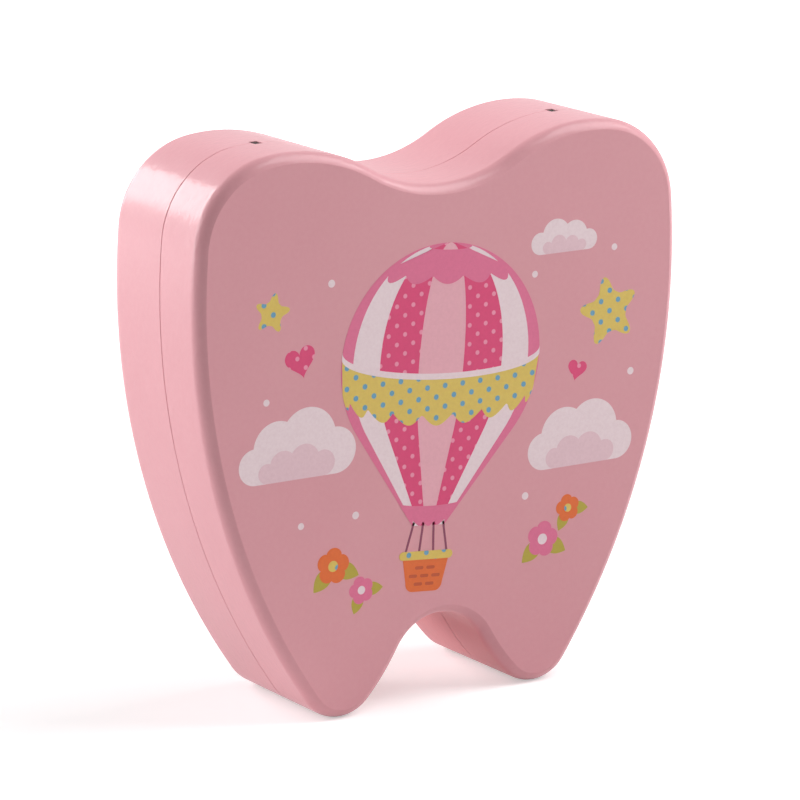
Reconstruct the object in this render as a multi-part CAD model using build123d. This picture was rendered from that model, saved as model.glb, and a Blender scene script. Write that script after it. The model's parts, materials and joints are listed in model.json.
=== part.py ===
from build123d import *
import os
from math import sqrt

# Baby tooth box: two hardwood halves in the outline of a molar, hinged at the two crowns of the top edge.
# +X is to the right, +Y to the rear and +Z up. The box stands on its two root tips, and its origin is
# at the middle of its foot. Lengths are in millimetres.

# Outline of the tooth, drawn as circles that touch one another
box_width = 130.0
box_height = 131.6
dip_depth = 10.8
dip_radius = 36.5
crown_radius = 43.5
shoulder_radius = 21.0
widest_height = 98.5
tip_radius = 10.3
tip_spacing = 53.5
crotch_height = 20.5
crotch_radius = 13.0
inner_root_radius = 54.6

# The two halves
base_depth = 21.4
lid_depth = 16.4
edge_round = 3.4
seam_gap = 0.3
seam_round = 0.3
rim_width = 7.0
pocket_corner_radius = 9.0
pocket_break = 0.4
board_play = 0.25

# Tray, felt and chart board
tray_thickness = 11.0
tray_recess = 1.0
felt_thickness = 1.0
board_thickness = 4.0
board_recess = 0.8
well_diameter = 10.0
well_margin = 2.4
wells_per_jaw = 10
jaw_side_margin = 5.5
jaw_end_angle = 12.0
finger_hole_diameter = 13.0
slot_corner_radius = 1.5

# Vials and their corks
vial_diameter = 10.0
vial_length = 28.0
vial_wall = 0.8
vial_foot_radius = 1.6
vial_neck_diameter = 7.6
vial_neck_length = 5.0
vial_shoulder_length = 2.2
vial_shoulder_radius = 0.9
vial_lip_diameter = 8.8
vial_lip_height = 1.2
vial_lip_radius = 0.3
vial_spacing = 22.0
vial_play = 0.4
vial_lift = 0.1
cork_play = 0.05
cork_plug_length = 5.5
cork_head_height = 4.5
cork_head_diameter = 7.4
cork_stroke = 8.0
cork_edge = 0.4

# Catch magnets
magnet_diameter = 6.0
magnet_thickness = 3.0
magnet_play = 0.05
magnet_web = 8.5

# Barrel hinges: two pins, one in each half, joined by three link plates
pin_offset = 1.0
pin_depth = 0.55
pin_diameter = 0.5
pin_length = 1.95
link_thickness = 0.35
links_per_hinge = 3
link_end_radius = 0.45
hinge_play = 0.03
link_play = 0.05
link_swing_room = 0.1
ear_thickness = 0.45
ear_radius = 0.42
barrel_diameter = 4.4
barrel_cover = 1.0
barrel_length = 6.0
barrel_play = 0.05
overrun = 5.0

# Places that follow from those sizes
front_y = -(base_depth + lid_depth) / 2
rear_y = (base_depth + lid_depth) / 2
seam_y = front_y + lid_depth
base_face_y = seam_y + seam_gap / 2
lid_face_y = seam_y - seam_gap / 2


def crossing(first, first_reach, second, second_reach):
    """Point at both reaches from two points, on the right of the way from the first to the second."""
    way = second - first
    along = (first_reach**2 - second_reach**2 + way.length**2) / (2 * way.length)
    aside = sqrt(first_reach**2 - along**2)
    ahead = way.normalized()
    return first + ahead * along + Vector(ahead.Y, -ahead.X) * aside


# Centres of the outline's circles, on the right half
dip_centre = Vector(0, box_height - dip_depth + dip_radius)
crown_centre_height = box_height - crown_radius
crown_rise = dip_centre.Y - crown_centre_height
crown_x = sqrt((dip_radius + crown_radius) ** 2 - crown_rise**2)
crown_centre = Vector(crown_x, crown_centre_height)
tip_centre = Vector(tip_spacing / 2, tip_radius)
side_run = box_width / 2 - tip_centre.X
side_fall = widest_height - tip_radius
side_radius = (side_run**2 + side_fall**2 - tip_radius**2) / (2 * (side_run - tip_radius))
side_centre = Vector(box_width / 2 - side_radius, widest_height)
shoulder_centre = crossing(
    crown_centre, crown_radius - shoulder_radius, side_centre, side_radius - shoulder_radius
)
crotch_centre = Vector(0, crotch_height - crotch_radius)
inner_root_centre = crossing(
    tip_centre, inner_root_radius - tip_radius, crotch_centre, inner_root_radius + crotch_radius
)

# Each ring is a centre, a radius, and 1 where the outline bulges or -1 where it is hollow
dip = (dip_centre, dip_radius, -1)
crown = (crown_centre, crown_radius, 1)
shoulder = (shoulder_centre, shoulder_radius, 1)
side = (side_centre, side_radius, 1)
tip = (tip_centre, tip_radius, 1)
inner_root = (inner_root_centre, inner_root_radius, 1)
crotch = (crotch_centre, crotch_radius, -1)
tooth_rings = [dip, crown, shoulder, side, tip, inner_root, crotch]

# The pocket keeps the top of the tooth, a rim inside it, and ends in an arch above the root tips
pocket_top = box_height - dip_depth - rim_width
pocket_arch_height = crotch_height + rim_width
pocket_foot_height = tip_radius + magnet_diameter / 2 + magnet_web
corner_height = pocket_foot_height + pocket_corner_radius
corner_reach = side_radius - rim_width - pocket_corner_radius
corner_x = side_centre.X + sqrt(corner_reach**2 - (widest_height - corner_height) ** 2)
arch_drop = corner_height - pocket_arch_height
arch_radius = (corner_x**2 + arch_drop**2 - pocket_corner_radius**2) / (
    2 * (pocket_corner_radius - arch_drop)
)
pocket_rings = [
    (dip_centre, dip_radius + rim_width, -1),
    (crown_centre, crown_radius - rim_width, 1),
    (shoulder_centre, shoulder_radius - rim_width, 1),
    (side_centre, side_radius - rim_width, 1),
    (Vector(corner_x, corner_height), pocket_corner_radius, 1),
    (Vector(0, pocket_arch_height - arch_radius), arch_radius, -1),
]


def touch(first, second):
    """Point where two touching circles meet."""
    larger, smaller = sorted((first, second), key=lambda ring: -ring[1])
    return larger[0] + (smaller[0] - larger[0]).normalized() * larger[1]


def arc_on(ring, start, end):
    """Short way round a ring from one point on it to another."""
    centre, radius, bulge = ring
    middle = centre + ((start - centre) + (end - centre)).normalized() * radius
    return ThreePointArc(start, middle, end)


def across(point):
    """The same point on the other side of the middle line."""
    return Vector(-point.X, point.Y)


def outline(rings, inset=0):
    """Face bounded by arcs on the rings and on their mirror images, drawn in by the inset."""
    drawn = [(centre, radius - bulge * inset, bulge) for centre, radius, bulge in rings]
    joins = [touch(first, second) for first, second in zip(drawn, drawn[1:])]
    top = Vector(0, drawn[0][0].Y - drawn[0][1])
    foot = Vector(0, drawn[-1][0].Y + drawn[-1][1])
    arcs = [
        ThreePointArc(across(joins[0]), top, joins[0]),
        ThreePointArc(joins[-1], foot, across(joins[-1])),
    ]
    for ring, start, end in zip(drawn[1:], joins, joins[1:]):
        twin = (across(ring[0]), ring[1], ring[2])
        arcs.append(arc_on(ring, start, end))
        arcs.append(arc_on(twin, across(start), across(end)))
    return make_face(Wire(arcs))


def slab(face, front, rear):
    """Face drawn in X and Z, made as thick as from front to rear."""
    return extrude(Plane.XZ.offset(-rear) * face, amount=rear - front)


def disc(x, z, radius, front, rear):
    """Round piece with its axis along Y."""
    return slab(Pos(x, z) * Circle(radius), front, rear)


def bar(x, width, y_low, y_high, z_low, z_high):
    """Straight-sided piece centred on x."""
    face = Pos((y_low + y_high) / 2, (z_low + z_high) / 2) * Rectangle(y_high - y_low, z_high - z_low)
    return extrude(Plane.YZ.offset(x - width / 2) * face, amount=width)


def cross_pin(x, y, z, radius, length):
    """Round piece with its axis along X, centred on x."""
    return extrude(Plane.YZ.offset(x - length / 2) * Pos(y, z) * Circle(radius), amount=length)


def over_seam(shape):
    """The same shape on the other side of the seam."""
    return mirror(shape, Plane.XZ.offset(-seam_y))


# Hinge sizes that follow from its plates
links_width = links_per_hinge * link_thickness
slot_width = links_width + 2 * link_play
ears_width = slot_width + 2 * ear_thickness
pit_width = ears_width + 2 * link_play
pin_height = box_height - pin_depth
base_pin_y = seam_y + pin_offset
lid_pin_y = seam_y - pin_offset
pit_reach = pin_offset + link_end_radius + link_swing_room
barrel_height = box_height - barrel_cover - barrel_diameter / 2


def hinge_barrel(x):
    """Barrel in the rear half, with two ears that hold the pin and a slot for the links."""
    end = base_face_y + barrel_length
    barrel = disc(x, barrel_height, barrel_diameter / 2, base_face_y, end)
    front, rear = base_pin_y - ear_radius, base_pin_y + ear_radius
    ears = bar(x, ears_width, front, rear, barrel_height, pin_height)
    ears += cross_pin(x, base_pin_y, pin_height, ear_radius, ears_width)
    room = link_end_radius + link_swing_room
    slot_floor = pin_height - room
    slot = bar(x, slot_width, base_face_y - overrun, base_pin_y + room, slot_floor, box_height + overrun)
    hole = cross_pin(x, base_pin_y, pin_height, pin_diameter / 2 + hinge_play, ears_width + overrun)
    return barrel + ears - slot - hole


def hinge_pin(x, y):
    """Pin that runs across both ears."""
    return cross_pin(x, y, pin_height, pin_diameter / 2, pin_length)


def hinge_link(x):
    """Link plate from the pin of one half to the pin of the other."""
    face = Pos(seam_y, pin_height) * SlotCenterToCenter(2 * pin_offset, 2 * link_end_radius)
    for y in (base_pin_y, lid_pin_y):
        face -= Pos(y, pin_height) * Circle(pin_diameter / 2 + hinge_play)
    return extrude(Plane.YZ.offset(x - link_thickness / 2) * face, amount=link_thickness)


def hinge_seat(x):
    """Bore and open pit that take the rear half's part of a hinge."""
    end = base_face_y + barrel_length
    bore = disc(x, barrel_height, barrel_diameter / 2 + barrel_play, base_face_y - overrun, end)
    top = box_height + overrun
    pit = bar(x, pit_width, base_face_y - overrun, seam_y + pit_reach, barrel_height, top)
    return bore + pit


def magnet_seat(x):
    """Blind bore for a catch magnet, in the rear half's face."""
    radius = magnet_diameter / 2 + magnet_play
    return disc(x, tip_centre.Y, radius, base_face_y - overrun, seam_y + magnet_thickness)


def half(front, rear, outer_y, inner_y):
    """Slab in the tooth's outline, with its show edge and its seam edge rounded."""
    body = slab(outline(tooth_rings), front, rear)
    show_edges = [edge for edge in body.edges() if abs(edge.center().Y - outer_y) < seam_gap / 2]
    body = fillet(show_edges, edge_round)
    seam_edges = [edge for edge in body.edges() if abs(edge.center().Y - inner_y) < seam_gap / 2]
    return fillet(seam_edges, seam_round)


def pocket(front, rear):
    """Sunk pocket in the outline of the tray, its mouth eased where it meets the seam."""
    return slab(outline(pocket_rings), front, rear)


def mouth_break(y_mouth, y_inside):
    """Sloping edge round the mouth of a pocket."""
    wide = Plane.XZ.offset(-y_mouth) * outline(pocket_rings, -pocket_break)
    narrow = Plane.XZ.offset(-y_inside) * outline(pocket_rings)
    return loft([wide, narrow], ruled=True)


def base_half():
    """Rear half: pocket for felt and tray, two magnet bores and two hinge seats."""
    body = half(base_face_y, rear_y, rear_y, base_face_y)
    body -= pocket(base_face_y - overrun, felt_y + felt_thickness)
    body -= mouth_break(base_face_y, base_face_y + pocket_break)
    for x in (-crown_x, crown_x):
        body -= hinge_seat(x)
    for x in (-tip_centre.X, tip_centre.X):
        body -= magnet_seat(x)
    return body


def lid_half():
    """Front half: shallow pocket for the chart board, and the same seats as the rear half."""
    body = half(front_y, lid_face_y, front_y, lid_face_y)
    body -= pocket(board_y, lid_face_y + overrun)
    body -= mouth_break(lid_face_y, lid_face_y - pocket_break)
    for x in (-crown_x, crown_x):
        body -= over_seam(hinge_seat(x))
    for x in (-tip_centre.X, tip_centre.X):
        body -= over_seam(magnet_seat(x))
    return body


# Depths of the layers in the two pockets
tray_y = base_face_y + tray_recess
felt_y = tray_y + tray_thickness
board_y = lid_face_y - board_recess - board_thickness

# Wells lie on two arches, and the vial slots between them
jaw_height = (pocket_top + pocket_arch_height) / 2
jaw_rise = (pocket_top - pocket_arch_height) / 2 - well_diameter / 2 - well_margin
pocket_reach = side_radius - rim_width
pocket_half_width = side_centre.X + sqrt(pocket_reach**2 - (widest_height - jaw_height) ** 2)
jaw_half_width = pocket_half_width - well_diameter / 2 - jaw_side_margin
cork_top = vial_length + cork_head_height
slot_length = cork_top + cork_stroke + 2 * vial_play
slot_foot = jaw_height - slot_length / 2
vial_foot = slot_foot + vial_play
vial_y = felt_y - vial_lift - vial_diameter / 2


def well_places():
    """Centres of the wells, evenly spaced along an upper and a lower arch."""
    sweep = 180 - 2 * jaw_end_angle
    upper = EllipticalCenterArc(
        (0, jaw_height), jaw_half_width, jaw_rise, start_angle=jaw_end_angle, arc_size=sweep
    )
    places = [upper @ (index / (wells_per_jaw - 1)) for index in range(wells_per_jaw)]
    lower = [Vector(place.X, 2 * jaw_height - place.Y) for place in places]
    return places + lower


def tooth_tray():
    """Tray with a round well for each milk tooth, two vial slots and a finger hole between them."""
    face = outline(pocket_rings, board_play)
    for place in well_places():
        face -= Pos(place.X, place.Y) * Circle(well_diameter / 2)
    for x in (-vial_spacing / 2, vial_spacing / 2):
        width = vial_diameter + 2 * vial_play
        face -= Pos(x, jaw_height) * RectangleRounded(width, slot_length, slot_corner_radius)
    face -= Pos(0, jaw_height) * Circle(finger_hole_diameter / 2)
    return slab(face, tray_y, felt_y)


def vial_section(radius, foot, neck_radius):
    """Half outline of a vial from its foot to the start of its lip."""
    shoulder_foot = vial_length - vial_neck_length - vial_shoulder_length
    neck_foot = vial_length - vial_neck_length
    return [(0, foot), (radius, foot), (radius, shoulder_foot), (neck_radius, neck_foot)]


def vial(x):
    """Glass vial with a round shoulder, a narrow neck and a lip."""
    neck_radius = vial_neck_diameter / 2
    lip_radius = vial_lip_diameter / 2
    lip_foot = vial_length - vial_lip_height
    points = vial_section(vial_diameter / 2, 0, neck_radius)
    points += [(neck_radius, lip_foot), (lip_radius, lip_foot), (lip_radius, vial_length)]
    rounds = [vial_foot_radius, vial_shoulder_radius, vial_shoulder_radius]
    outer = FilletPolyline(*points, radius=rounds + [vial_lip_radius, vial_lip_radius])
    bore_radius = neck_radius - vial_wall
    inner_round = vial_foot_radius - vial_wall
    points = vial_section(vial_diameter / 2 - vial_wall, vial_wall, bore_radius)
    points += [(bore_radius, vial_length)]
    rounds = [inner_round, vial_shoulder_radius, vial_shoulder_radius]
    inner = FilletPolyline(*points, radius=rounds)
    ends = [Line(outer @ 1, inner @ 1), Line(inner @ 0, outer @ 0)]
    section = make_face(Wire(outer.edges() + inner.edges() + ends))
    return Pos(x, vial_y, vial_foot) * revolve(Plane.XZ * section, Axis.Z)


def cork(x):
    """Cork: a straight plug in the vial's neck, widening above the lip."""
    plug_radius = vial_neck_diameter / 2 - vial_wall - cork_play
    head_radius = cork_head_diameter / 2
    points = [
        (0, vial_length - cork_plug_length),
        (plug_radius - cork_edge, vial_length - cork_plug_length),
        (plug_radius, vial_length - cork_plug_length + cork_edge),
        (plug_radius, vial_length),
        (head_radius, cork_top - cork_edge),
        (head_radius - cork_edge, cork_top),
        (0, cork_top),
    ]
    section = make_face(Polyline(*points, close=True))
    return Pos(x, vial_y, vial_foot) * revolve(Plane.XZ * section, Axis.Z)


def magnet(x):
    """Catch magnet in the rear half, its face at the middle of the seam."""
    return disc(x, tip_centre.Y, magnet_diameter / 2, seam_y, seam_y + magnet_thickness)


nodes = {
    "base_half": base_half(),
    "base_felt": slab(outline(pocket_rings, board_play), felt_y, felt_y + felt_thickness),
    "tooth_tray": tooth_tray(),
    "chart_board": slab(outline(pocket_rings, board_play), board_y, board_y + board_thickness),
    "lid_half": lid_half(),
}
for name, sign in (("left", -1), ("right", 1)):
    vial_x = sign * vial_spacing / 2
    nodes[f"{name}_vial"] = vial(vial_x)
    nodes[f"{name}_cork"] = cork(vial_x)
    nodes[f"base_magnet_{name}"] = magnet(sign * tip_centre.X)
    nodes[f"lid_magnet_{name}"] = over_seam(magnet(sign * tip_centre.X))
    hinge_x = sign * crown_x
    nodes[f"hinge_{name}_base_barrel"] = hinge_barrel(hinge_x)
    nodes[f"hinge_{name}_lid_barrel"] = over_seam(hinge_barrel(hinge_x))
    nodes[f"hinge_{name}_base_pin"] = hinge_pin(hinge_x, base_pin_y)
    nodes[f"hinge_{name}_lid_pin"] = hinge_pin(hinge_x, lid_pin_y)
    for step, place in ((-1, "inner"), (0, "middle"), (1, "outer")):
        link_x = hinge_x + sign * step * link_thickness
        nodes[f"hinge_{name}_{place}_link"] = hinge_link(link_x)

os.makedirs("parts", exist_ok=True)
for name, shape in nodes.items():
    export_step(shape, f"parts/{name}.step")

# Places that the joints and openings use
print("crown x", round(crown_x, 3), "side radius", round(side_radius, 3), "seam y", round(seam_y, 3))
print("pin height", round(pin_height, 3), "pins at y", round(base_pin_y, 3), round(lid_pin_y, 3))
print("vial foot", round(vial_foot, 3), "vial y", round(vial_y, 3), "slot foot", round(slot_foot, 3))
print("tray from", round(tray_y, 3), "to", round(felt_y, 3), "board from", round(board_y, 3))
print("wells", [(round(place.X, 2), round(place.Y, 2)) for place in well_places()])
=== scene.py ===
# %% [markdown]
# # A tooth-shaped keepsake box
# The box is two blocks of hardwood in the outline of a molar, lacquered pink, hinged at the top and
# shut on a hairline seam. A flat print of balloon, clouds and flowers lies on its front. Inside are a
# plywood tray with a well for each milk tooth, two glass vials with corks, and a chart in the lid.
# The engineering model gives the frame, and every piece here is made in metres in that same frame.

# %% Load the frame
import json
from math import cos, hypot, pi, radians, sin, sqrt
import bpy
from mathutils import Matrix, Vector

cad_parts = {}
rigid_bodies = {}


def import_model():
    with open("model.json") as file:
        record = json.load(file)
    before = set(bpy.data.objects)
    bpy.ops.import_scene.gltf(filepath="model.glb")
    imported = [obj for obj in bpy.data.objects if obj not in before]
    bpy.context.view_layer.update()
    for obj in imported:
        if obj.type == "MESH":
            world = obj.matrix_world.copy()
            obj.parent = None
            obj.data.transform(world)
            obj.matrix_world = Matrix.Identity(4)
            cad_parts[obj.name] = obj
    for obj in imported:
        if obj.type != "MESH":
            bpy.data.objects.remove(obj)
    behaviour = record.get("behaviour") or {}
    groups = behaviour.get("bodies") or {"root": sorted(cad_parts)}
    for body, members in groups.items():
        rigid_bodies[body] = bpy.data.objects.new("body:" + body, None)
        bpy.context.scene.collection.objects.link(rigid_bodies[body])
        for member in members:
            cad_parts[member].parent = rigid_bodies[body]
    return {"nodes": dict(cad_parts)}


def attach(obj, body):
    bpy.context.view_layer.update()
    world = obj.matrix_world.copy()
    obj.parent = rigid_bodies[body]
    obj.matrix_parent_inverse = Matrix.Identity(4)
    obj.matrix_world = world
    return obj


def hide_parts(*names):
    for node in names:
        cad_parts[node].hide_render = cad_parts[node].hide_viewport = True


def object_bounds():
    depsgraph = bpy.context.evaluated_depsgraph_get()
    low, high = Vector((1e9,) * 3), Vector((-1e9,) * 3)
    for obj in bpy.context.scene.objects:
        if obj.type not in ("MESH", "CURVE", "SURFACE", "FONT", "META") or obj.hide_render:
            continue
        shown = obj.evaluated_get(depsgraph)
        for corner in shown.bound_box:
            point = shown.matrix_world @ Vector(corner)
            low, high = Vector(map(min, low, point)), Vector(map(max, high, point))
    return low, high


bpy.ops.object.select_all(action="SELECT")
bpy.ops.object.delete()
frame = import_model()
cad_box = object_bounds()
cad_size = [round(size * 1000, 1) for size in cad_box[1] - cad_box[0]]
print("the engineering model measures", cad_size, "mm")

# %% [markdown]
# ## Sizes
# Sizes are kept in millimetres, as a maker would write them, and one factor turns them into Blender's
# metres. The outline of the tooth is a chain of circles that touch one another, so a handful of radii
# says all of it. The same radii shape the engineering model. Only the seam shows narrower here than
# the engineering model's, which has to leave room for the motion.

# %% Sizes of the tooth in millimetres
MM = 0.001
BOX_WIDTH, BOX_HEIGHT = 130.0, 131.6
DIP_DEPTH, DIP_RADIUS = 10.8, 36.5
CROWN_RADIUS, SHOULDER_RADIUS = 43.5, 21.0
WIDEST_HEIGHT, TIP_RADIUS, TIP_SPACING = 98.5, 10.3, 53.5
CROTCH_HEIGHT, CROTCH_RADIUS, INNER_ROOT_RADIUS = 20.5, 13.0, 54.6
FRONT_Y, REAR_Y, SEAM_Y = -18.9, 18.9, -2.5
EDGE_ROUND, EDGE_PLANED, SEAM_GAP = 3.4, 0.2, 0.3
SHOWN_GAP, SEAM_ROUND = 0.16, 0.12
RIM_WIDTH, POCKET_CORNER_RADIUS, POCKET_BREAK = 7.0, 9.0, 0.4
BASE_FACE_Y, LID_FACE_Y = SEAM_Y + SEAM_GAP / 2, SEAM_Y - SEAM_GAP / 2
BOARD_PLAY = 0.25
MAGNET_DIAMETER, MAGNET_THICKNESS, MAGNET_WEB = 6.0, 3.0, 8.5


def crossing(first, first_reach, second, second_reach):
    """Point at both reaches from two points, on the right of the way from the first to the second."""
    way = second - first
    along = (first_reach**2 - second_reach**2 + way.length_squared) / (2 * way.length)
    aside = sqrt(first_reach**2 - along**2)
    ahead = way.normalized()
    return first + ahead * along + Vector((ahead.y, -ahead.x)) * aside


dip_centre = Vector((0, BOX_HEIGHT - DIP_DEPTH + DIP_RADIUS))
crown_height = BOX_HEIGHT - CROWN_RADIUS
crown_x = sqrt((DIP_RADIUS + CROWN_RADIUS) ** 2 - (dip_centre.y - crown_height) ** 2)
crown_centre = Vector((crown_x, crown_height))
tip_centre = Vector((TIP_SPACING / 2, TIP_RADIUS))
side_run, side_fall = BOX_WIDTH / 2 - tip_centre.x, WIDEST_HEIGHT - TIP_RADIUS
side_radius = (side_run**2 + side_fall**2 - TIP_RADIUS**2) / (2 * (side_run - TIP_RADIUS))
side_centre = Vector((BOX_WIDTH / 2 - side_radius, WIDEST_HEIGHT))
shoulder_centre = crossing(
    crown_centre, CROWN_RADIUS - SHOULDER_RADIUS, side_centre, side_radius - SHOULDER_RADIUS
)
crotch_centre = Vector((0, CROTCH_HEIGHT - CROTCH_RADIUS))
inner_root_centre = crossing(
    tip_centre, INNER_ROOT_RADIUS - TIP_RADIUS, crotch_centre, INNER_ROOT_RADIUS + CROTCH_RADIUS
)

# Each ring is a centre, a radius, and 1 where the outline bulges or -1 where it is hollow
tooth_rings = [
    (dip_centre, DIP_RADIUS, -1),
    (crown_centre, CROWN_RADIUS, 1),
    (shoulder_centre, SHOULDER_RADIUS, 1),
    (side_centre, side_radius, 1),
    (tip_centre, TIP_RADIUS, 1),
    (inner_root_centre, INNER_ROOT_RADIUS, 1),
    (crotch_centre, CROTCH_RADIUS, -1),
]

pocket_top = BOX_HEIGHT - DIP_DEPTH - RIM_WIDTH
pocket_arch = CROTCH_HEIGHT + RIM_WIDTH
corner_height = TIP_RADIUS + MAGNET_DIAMETER / 2 + MAGNET_WEB + POCKET_CORNER_RADIUS
corner_reach = side_radius - RIM_WIDTH - POCKET_CORNER_RADIUS
corner_x = side_centre.x + sqrt(corner_reach**2 - (WIDEST_HEIGHT - corner_height) ** 2)
arch_drop = corner_height - pocket_arch
arch_radius = (corner_x**2 + arch_drop**2 - POCKET_CORNER_RADIUS**2) / (
    2 * (POCKET_CORNER_RADIUS - arch_drop)
)
pocket_rings = [
    (dip_centre, DIP_RADIUS + RIM_WIDTH, -1),
    (crown_centre, CROWN_RADIUS - RIM_WIDTH, 1),
    (shoulder_centre, SHOULDER_RADIUS - RIM_WIDTH, 1),
    (side_centre, side_radius - RIM_WIDTH, 1),
    (Vector((corner_x, corner_height)), POCKET_CORNER_RADIUS, 1),
    (Vector((0, pocket_arch - arch_radius)), arch_radius, -1),
]
print("crowns stand at x", round(crown_x, 2), "and the sides have a radius of", round(side_radius, 2))

# %% [markdown]
# ## Small helpers for modelling by operators
# An operator acts on whatever is selected, so each helper first clears the selection. `pick` selects
# the points, edges or faces that pass a test, which is what a click does by hand. Of the edges it
# takes only true corners, so that an edge that is already rounded is left alone.

# %% Helpers that select and open
PARTS = {"VERT": "vertices", "EDGE": "edges", "FACE": "polygons"}
CORNER_ANGLE = 60


def clear_selection():
    """Leaves edit mode and selects nothing."""
    if bpy.context.mode != "OBJECT":
        bpy.ops.object.mode_set(mode="OBJECT")
    bpy.ops.object.select_all(action="DESELECT")


def take(piece):
    """Makes a piece the one that operators act on."""
    clear_selection()
    piece.select_set(True)
    bpy.context.view_layer.objects.active = piece


def edit(piece, kind="VERT", action="SELECT"):
    """Opens a piece in edit mode, with all its points, edges or faces selected, or none."""
    take(piece)
    bpy.ops.object.mode_set(mode="EDIT")
    bpy.ops.mesh.select_mode(type=kind)
    bpy.ops.mesh.select_all(action=action)


def close_edit():
    """Goes back from edit mode to the piece as a whole."""
    bpy.ops.object.mode_set(mode="OBJECT")


def added(name):
    """Names the primitive that was just added."""
    piece = bpy.context.object
    piece.name = piece.data.name = name
    return piece


def hard_edges(piece):
    """Numbers of the edges where two faces meet at a corner."""
    edit(piece, "EDGE", "DESELECT")
    bpy.ops.mesh.edges_select_sharp(sharpness=radians(CORNER_ANGLE))
    close_edit()
    return {edge.index for edge in piece.data.edges if edge.select}


def pick(piece, kind, test):
    """Selects the points, corner edges or faces that pass the test, and stays in edit mode."""
    corners = hard_edges(piece) if kind == "EDGE" else None
    edit(piece, kind, "DESELECT")
    close_edit()
    points = piece.data.vertices
    for part in getattr(piece.data, PARTS[kind]):
        if kind == "FACE":
            part.select = test(part)
        elif kind == "EDGE":
            ends = [points[index].co for index in part.vertices]
            part.select = part.index in corners and test(ends)
        else:
            part.select = test(part.co)
    bpy.ops.object.mode_set(mode="EDIT")


# %% Helpers that place and repair
SAME_PLACE, DOUBLED = 0.01, 0.002


def at_depth(y):
    """Test for an edge that lies at one depth."""
    return lambda ends: all(abs(end.y - y * MM) < SAME_PLACE * MM for end in ends)


def place_in_mesh(piece):
    """Moves a piece's place, turn and scale into its mesh, so that its object sits at the origin."""
    take(piece)
    bpy.ops.object.transform_apply(location=True, rotation=True, scale=True)
    return piece


def outward(piece):
    """Merges doubled points and turns every face outwards."""
    edit(piece)
    bpy.ops.mesh.remove_doubles(threshold=DOUBLED * MM)
    bpy.ops.mesh.normals_make_consistent(inside=False)
    close_edit()
    return piece


# %% Helpers that cut, smooth and finish
def apply_step(piece, kind, **settings):
    """Adds a modifier with its settings and applies it."""
    take(piece)
    bpy.ops.object.modifier_add(type=kind)
    step = piece.modifiers[-1]
    for setting, value in settings.items():
        setattr(step, setting, value)
    bpy.ops.object.modifier_apply(modifier=step.name)


def cut(piece, cutter, operation="DIFFERENCE"):
    """Takes the cutter's shape out of a piece, or joins it on, and removes the cutter."""
    apply_step(piece, "BOOLEAN", operation=operation, solver="EXACT", object=cutter)
    bpy.data.objects.remove(cutter)


def smooth(piece, angle=11.0):
    """Shades soft turns smooth and keeps hard corners crisp, with the large faces in charge."""
    take(piece)
    bpy.ops.object.shade_smooth_by_angle(angle=radians(angle))
    apply_step(piece, "WEIGHTED_NORMAL", keep_sharp=True)
    return piece


def finish(piece, body, slot, materials, *nodes):
    """Gives a piece its finish and its body, and hides the nodes of the frame that it stands for."""
    for material in materials:
        piece.data.materials.append(material)
    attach(piece, body)
    if nodes:
        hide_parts(*nodes)
    print(piece.name, "rides on", body, "with", len(piece.data.polygons), "faces")


# %% [markdown]
# ## The outline, walked round by spinning a point
# A curve of touching circles could be traced by eye, but then no part of it would be a true arc.
# Here one point starts at the middle of the top and is spun round the centre of each circle in turn,
# as a compass would draw it. The half that results is mirrored, welded and filled.

# %% Draw an outline
STEP_LENGTH, STEP_ANGLE, FEWEST_STEPS = 0.9, 5.0, 4
WELD = 0.005


def first_point(name, place):
    """A piece that is a single point so far, open in edit mode, at a place in metres."""
    clear_selection()
    bpy.ops.mesh.primitive_plane_add(size=MM, location=(0, 0, 0))
    piece = added(name)
    edit(piece)
    bpy.ops.mesh.merge(type="CENTER")
    bpy.ops.transform.translate(value=place)
    return piece


def touch(first, second):
    """Point where two touching circles meet."""
    larger, smaller = sorted((first, second), key=lambda ring: -ring[1])
    return larger[0] + (smaller[0] - larger[0]).normalized() * larger[1]


def outline(name, rings, y, inset=0.0):
    """A flat face at one depth, bounded by arcs on the rings and on their mirror images."""
    drawn = [(centre, radius - bulge * inset, bulge) for centre, radius, bulge in rings]
    top = Vector((0, drawn[0][0].y - drawn[0][1]))
    foot = Vector((0, drawn[-1][0].y + drawn[-1][1]))
    stops = [top] + [touch(first, second) for first, second in zip(drawn, drawn[1:])] + [foot]
    piece = first_point(name, (0, y * MM, top.y * MM))
    for (centre, radius, bulge), start, end in zip(drawn, stops, stops[1:]):
        turn = (start - centre).angle(end - centre)
        by_length, by_angle = turn * radius / STEP_LENGTH, turn / radians(STEP_ANGLE)
        steps = max(FEWEST_STEPS, round(by_length), round(by_angle))
        middle = (centre.x * MM, y * MM, centre.y * MM)
        bpy.ops.mesh.spin(steps=steps, angle=turn, center=middle, axis=(0, -bulge, 0))
    bpy.ops.mesh.select_all(action="SELECT")
    bpy.ops.mesh.duplicate()
    bpy.ops.transform.resize(value=(-1, 1, 1), center_override=(0, 0, 0))
    bpy.ops.mesh.select_all(action="SELECT")
    bpy.ops.mesh.remove_doubles(threshold=WELD * MM)
    bpy.ops.mesh.edge_face_add()
    close_edit()
    return piece


# %% Give an outline its thickness and round its edges
def slab(name, rings, front, rear, inset=0.0):
    """An outline made as thick as from front to rear."""
    piece = outline(name, rings, front, inset)
    edit(piece)
    bpy.ops.mesh.extrude_region_move(TRANSFORM_OT_translate={"value": (0, (rear - front) * MM, 0)})
    close_edit()
    return outward(piece)


def round_edges(piece, test, radius, segments):
    """Rounds the edges that pass the test."""
    pick(piece, "EDGE", test)
    bpy.ops.mesh.bevel(
        offset_type="OFFSET", offset=radius * MM, segments=segments, profile=0.5, affect="EDGES",
        clamp_overlap=False,
    )
    close_edit()


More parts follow.
